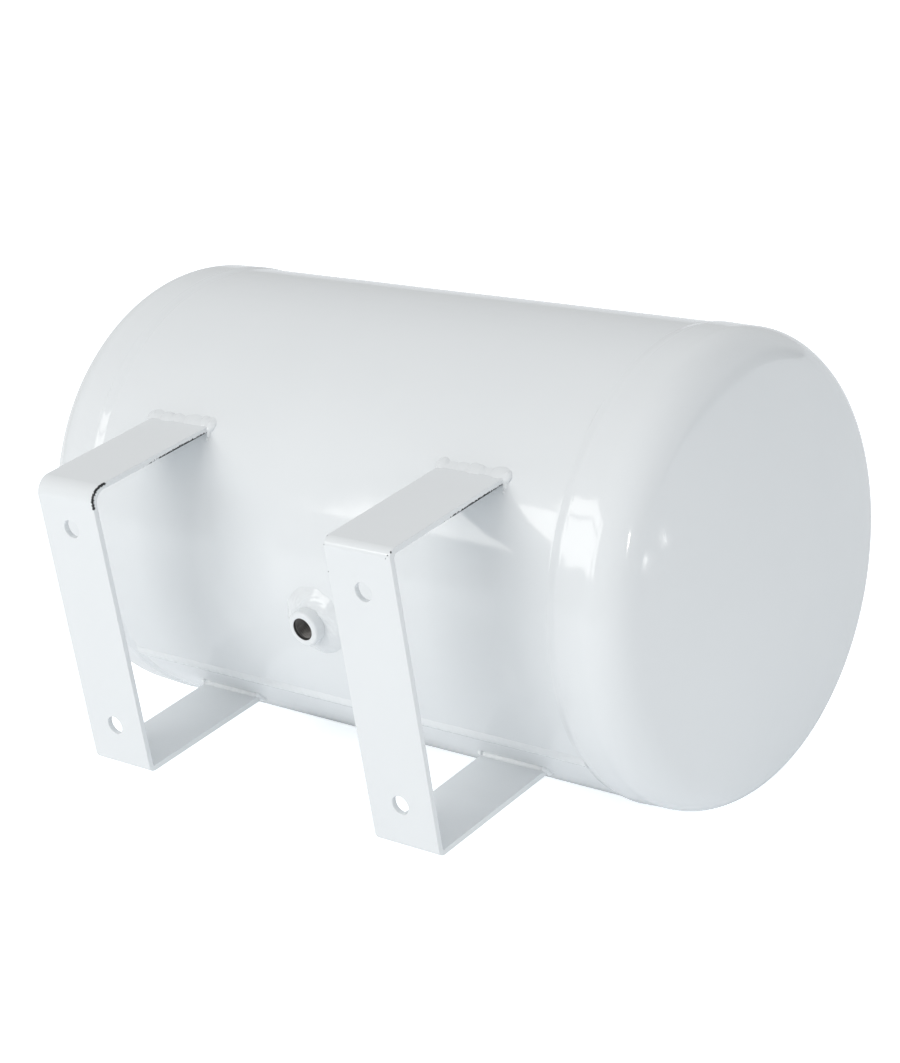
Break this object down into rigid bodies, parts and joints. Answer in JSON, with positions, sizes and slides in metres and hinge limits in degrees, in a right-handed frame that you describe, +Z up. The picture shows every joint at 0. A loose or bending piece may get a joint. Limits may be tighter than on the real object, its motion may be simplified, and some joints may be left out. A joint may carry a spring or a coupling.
{
  "type": "expansion vessel",
  "caption": "Horizontal welded steel expansion vessel with dished heads, strap wall brackets, a threaded side port, and an inner diaphragm with a gas valve on one head.",
  "frame": {"origin": "centre of the four wall bolt holes, on the wall plane that the two bracket plates lie against", "axes": "+X along the vessel, away from the gas valve; -Y out of the part into the wall; +Z up"},
  "size_m": [0.4382, 0.2989, 0.2428],
  "materials": {
    "white_paint": "gloss baked enamel with slight orange peel",
    "bare_steel": "plain",
    "brass": "machined",
    "rubber": "moulded",
    "black_plastic": "moulded"
  },
  "bodies": {
    "vessel": {"shell": "white_paint", "seam_weld": "white_paint", "head_left": "white_paint", "head_right": "white_paint", "girth_weld_left": "white_paint", "girth_weld_right": "white_paint", "bracket_left": "white_paint", "bracket_right": "white_paint", "bracket_left_upper_weld": "white_paint", "bracket_left_lower_weld": "white_paint", "bracket_right_upper_weld": "white_paint", "bracket_right_lower_weld": "white_paint", "port_socket": "white_paint", "port_weld": "white_paint", "diaphragm": "rubber", "diaphragm_clamp_band": "bare_steel", "valve_boss": "white_paint", "valve_boss_weld": "white_paint", "valve_stem_seal": "rubber", "valve_stem": "brass", "valve_core_barrel": "brass", "valve_spring": "bare_steel"},
    "pin": {"valve_pin": "brass", "valve_pin_seal": "rubber"},
    "cap_disc": {"valve_cap_seal": "rubber"},
    "cap": {"valve_cap": "black_plastic"}
  },
  "joints": [
    {"name": "pin_press", "type": "slide", "parent": "vessel", "child": "pin", "axis": [1, 0, 0], "range_m": [0, 0.0012], "stiffness_N_per_m": 900, "springref_m": -0.002, "deforming": ["valve_spring"]},
    {"name": "cap_lift", "type": "slide", "parent": "vessel", "child": "cap_disc", "axis": [-1, 0, 0], "range_m": [0, 0.00397]},
    {"name": "cap_turn", "type": "hinge", "parent": "cap_disc", "child": "cap", "pos_m": [-0.22, 0.1775, 0], "axis": [-1, 0, 0], "range_deg": [0, 1800]}
  ],
  "couplings": [
    {"joint": "cap_turn", "follows": "cap_lift", "rad_per_m": 7913.3}
  ]
}
